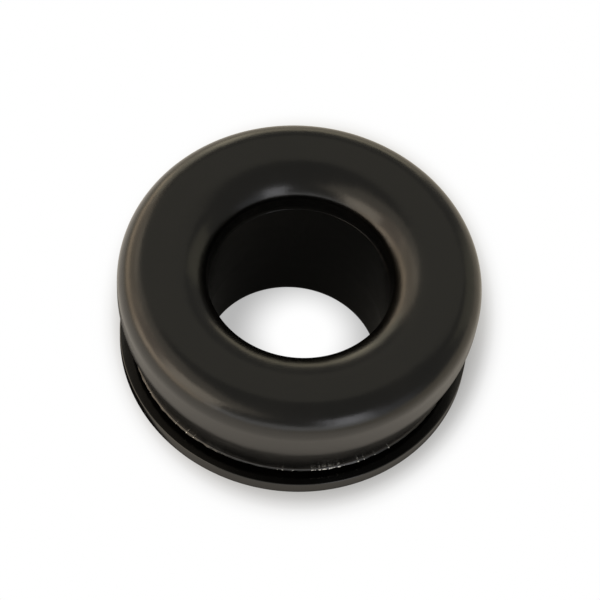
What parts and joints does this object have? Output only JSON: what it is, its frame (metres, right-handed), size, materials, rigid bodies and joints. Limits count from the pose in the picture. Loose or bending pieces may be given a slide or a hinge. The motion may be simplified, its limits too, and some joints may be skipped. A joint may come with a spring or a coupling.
{
  "type": "rubber grommet",
  "caption": "Push-in rubber grommet with a thick rounded flange, a narrow panel groove, a tapered barb below it and a smooth round bore with a rolled mouth.",
  "frame": {"origin": "centre of the end face of the nose, on the axis, at the lowest point", "axes": "+Z along the bore's axis, from the nose towards the thick flange"},
  "size_m": [0.038, 0.038, 0.0213],
  "materials": {
    "rubber": "smooth moulded black rubber with a soft sheen"
  },
  "bodies": {
    "root": {"grommet": "rubber"}
  },
  "joints": []
}
